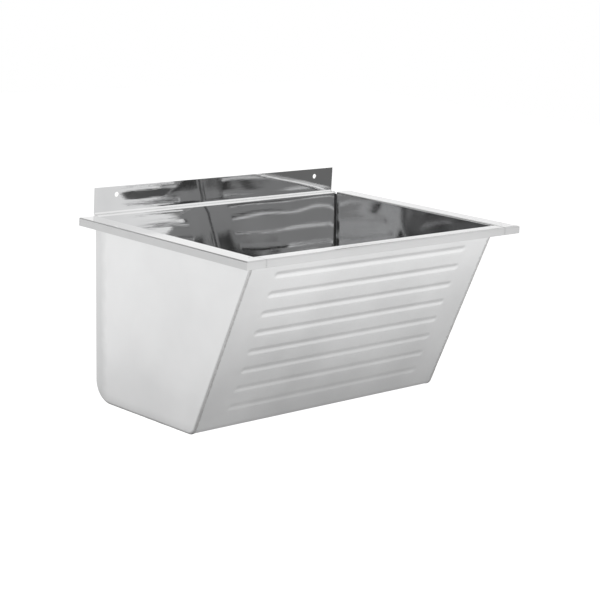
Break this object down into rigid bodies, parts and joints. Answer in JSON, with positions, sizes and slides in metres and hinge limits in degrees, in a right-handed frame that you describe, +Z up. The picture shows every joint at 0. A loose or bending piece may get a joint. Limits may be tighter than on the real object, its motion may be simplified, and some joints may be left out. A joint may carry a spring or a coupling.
{
  "type": "wall-hung service sink",
  "caption": "Wall-hung stainless service sink with a ribbed sloping front, a folded rim, a low splashback with screw holes and a strainer waste with a lift-out plug.",
  "frame": {"origin": "midway between the two wall-screw holes, on the back face of the splashback", "axes": "+X along the wall, to the right seen from the front; +Y into the wall; +Z up"},
  "size_m": [0.6, 0.4, 0.3845],
  "materials": {
    "satin_sheet": "satin stainless sheet",
    "dressed_weld": "weld bead dressed with an abrasive",
    "polished_steel": "polished stainless",
    "seal_rubber": "smooth moulded rubber",
    "waste_plastic": "moulded",
    "guide_plastic": "moulded",
    "brass": "machined"
  },
  "bodies": {
    "sink": {"wrapper_sheet": "satin_sheet", "left_end_panel": "satin_sheet", "right_end_panel": "satin_sheet", "left_seam_weld": "dressed_weld", "right_seam_weld": "dressed_weld", "rim_joint_welds": "dressed_weld", "strainer_dish": "polished_steel", "upper_waste_seal": "seal_rubber", "lower_waste_seal": "seal_rubber", "waste_body": "waste_plastic", "brass_insert": "brass", "clamp_screw": "polished_steel"},
    "plug": {"plug_cap": "polished_steel", "plug_seal": "seal_rubber", "plug_guide": "guide_plastic", "plug_knob": "polished_steel", "plug_nut": "polished_steel"}
  },
  "joints": [
    {"name": "plug_lift", "type": "slide", "parent": "sink", "child": "plug", "axis": [0, 0, 1], "range_m": [0, 0.3]}
  ]
}
